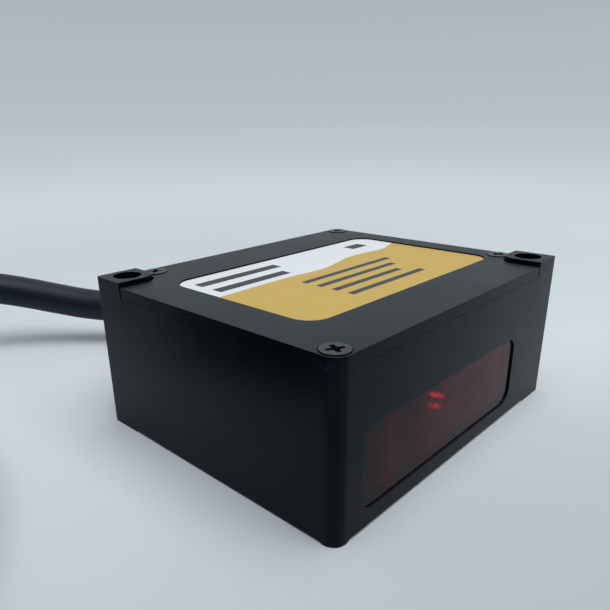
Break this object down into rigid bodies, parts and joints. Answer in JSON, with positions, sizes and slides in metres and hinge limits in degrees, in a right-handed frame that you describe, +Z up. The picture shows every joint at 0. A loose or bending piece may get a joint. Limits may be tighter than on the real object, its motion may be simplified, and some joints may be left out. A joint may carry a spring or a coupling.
{
  "type": "laser displacement sensor",
  "caption": "Black box-shaped laser displacement sensor with a red front window, a labelled cover, two mounting lugs and a rear lead wound into a tied coil.",
  "frame": {"origin": "centre of the housing's footprint, on the plane of its feet", "axes": "+X along the window face, to the right as seen from the front; +Y from the window face towards the lead; +Z up, out of the cover"},
  "size_m": [0.1832, 0.1118, 0.026],
  "materials": {
    "body_black": "black anodised, satin",
    "gasket_rubber": "matte",
    "screw_steel": "blackened, satin",
    "label_print": "printed film, semi-gloss",
    "window_red": "polished red filter",
    "bench_metal": "black anodised, matte",
    "diode_gold": "plated",
    "lens_glass": "coated",
    "trim_black": "matte",
    "board_green": "solder mask",
    "chip_black": "matte moulded",
    "flex_amber": "polyimide film",
    "connector_cream": "moulded",
    "core_colours": "extruded",
    "jacket_black": "satin",
    "tie_black": "moulded",
    "tinned_copper": "tinned"
  },
  "bodies": {
    "root": {"housing": "body_black", "top_cover": "body_black", "cover_gasket": "gasket_rubber", "cover_screws": "screw_steel", "label": "label_print", "window_pane": "window_red", "window_seal": "gasket_rubber", "optical_bench": "bench_metal", "bench_screws": "screw_steel", "light_baffle": "trim_black", "set_screws": "screw_steel", "laser_barrel": "bench_metal", "laser_diode": "diode_gold", "collimator_lens": "lens_glass", "lens_rings": "trim_black", "laser_board": "board_green", "receiver_barrel": "bench_metal", "receiver_lens": "lens_glass", "image_sensor": "chip_black", "sensor_board": "board_green", "sensor_screws": "screw_steel", "flex_lead": "flex_amber", "main_board": "board_green", "board_screws": "screw_steel", "processor": "chip_black", "board_parts": "chip_black", "board_connector": "connector_cream", "inner_leads": "core_colours", "cable_gland": "trim_black", "gland_nut": "screw_steel", "gland_seal": "gasket_rubber", "strain_relief": "trim_black", "cable": "jacket_black", "cable_coil": "jacket_black", "coil_ties": "tie_black", "lead_wires": "core_colours", "lead_tips": "tinned_copper"}
  },
  "joints": []
}
